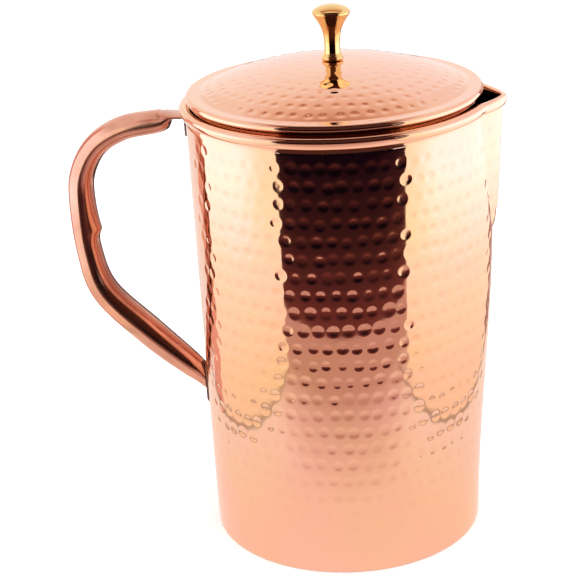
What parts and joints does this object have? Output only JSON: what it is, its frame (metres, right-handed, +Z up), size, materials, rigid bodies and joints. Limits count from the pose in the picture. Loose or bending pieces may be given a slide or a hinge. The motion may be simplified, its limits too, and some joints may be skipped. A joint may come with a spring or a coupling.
{
  "type": "copper water jug",
  "caption": "Tall hammered metal water jug with a pinched pouring spout, a looped hollow handle and a loose lid with a turned knob.",
  "frame": {"origin": "on the jug's centre line at the underside of its base", "axes": "+Z up out of the mouth, +X towards the pouring spout, so the handle is at -X"},
  "size_m": [0.1832, 0.1254, 0.2241],
  "materials": {
    "hammered_copper": "polished copper, hammered all over in round dimples",
    "inner_copper": "plain copper, less polished",
    "handle_copper": "polished copper, slightly darker with handling",
    "wire_copper": "drawn wire, hidden in the rolled rim",
    "knob_brass": "turned and polished",
    "screw_steel": "plain"
  },
  "bodies": {
    "jug": {"body_wall": "hammered_copper", "rim_wire": "wire_copper", "base_pan": "inner_copper", "handle_outer_shell": "handle_copper", "handle_inner_shell": "handle_copper", "handle_upper_tab": "handle_copper", "handle_lower_tab": "handle_copper"},
    "lid_knob": {"knob": "knob_brass", "knob_washer": "knob_brass", "knob_screw": "screw_steel"},
    "lid": {"lid_plate": "hammered_copper", "lid_collar": "hammered_copper"}
  },
  "joints": [
    {"name": "lid_lift", "type": "slide", "parent": "jug", "child": "lid_knob", "axis": [0, 0, 1], "range_m": [0, 0.06]},
    {"name": "lid_turn", "type": "hinge", "parent": "lid_knob", "child": "lid", "pos_m": [0, 0, 0.19], "axis": [0, 0, 1], "continuous": true}
  ]
}
